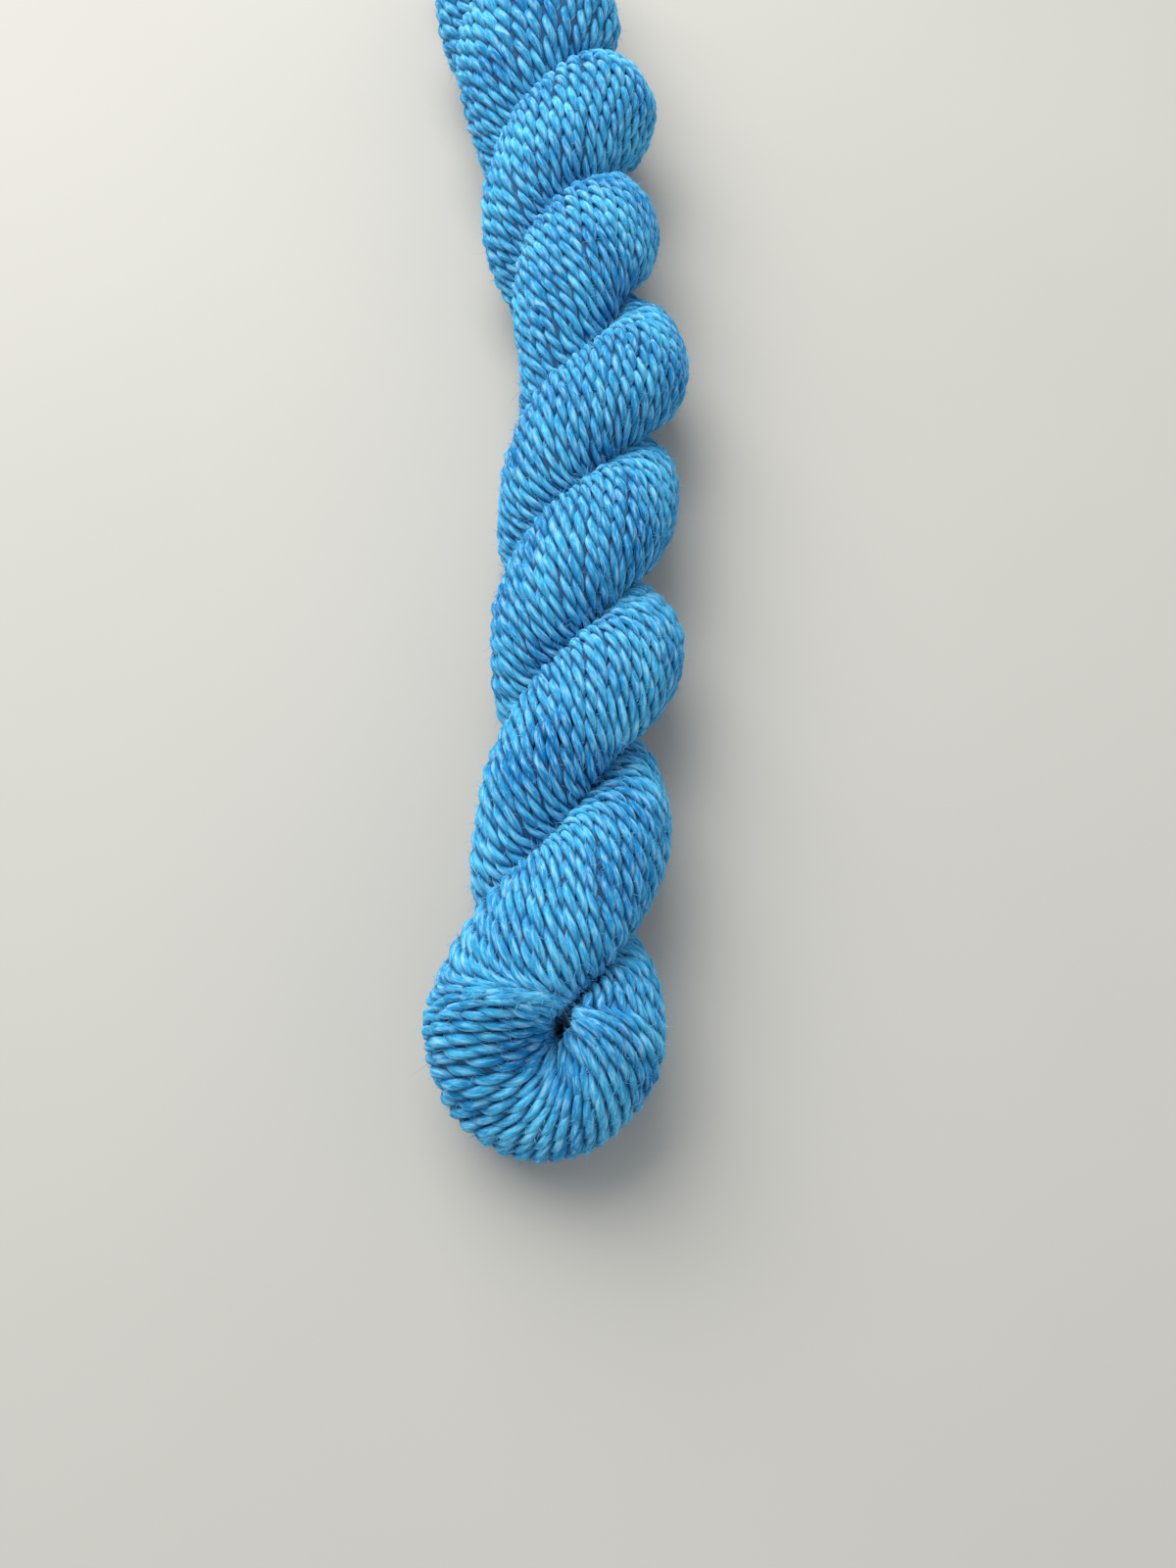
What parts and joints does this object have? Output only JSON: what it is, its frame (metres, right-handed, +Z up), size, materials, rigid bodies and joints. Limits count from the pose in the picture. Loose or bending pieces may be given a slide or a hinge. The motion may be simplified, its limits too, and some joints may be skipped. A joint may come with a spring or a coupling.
{
  "type": "skein of yarn",
  "caption": "Small twisted skein of two-ply yarn, folded on itself into a rope with one end tucked into the other, lying flat.",
  "frame": {"origin": "bottom centre of the skein's box, on the surface it lies on", "axes": "+Y along the skein from the fold to the tucked end, +Z up from the surface, +X to the right seen from above with the fold towards the viewer"},
  "size_m": [0.0556, 0.2839, 0.0351],
  "materials": {
    "yarn": "matt woollen yarn, soft and slightly fuzzy"
  },
  "bodies": {
    "root": {"skein": "yarn"}
  },
  "joints": []
}
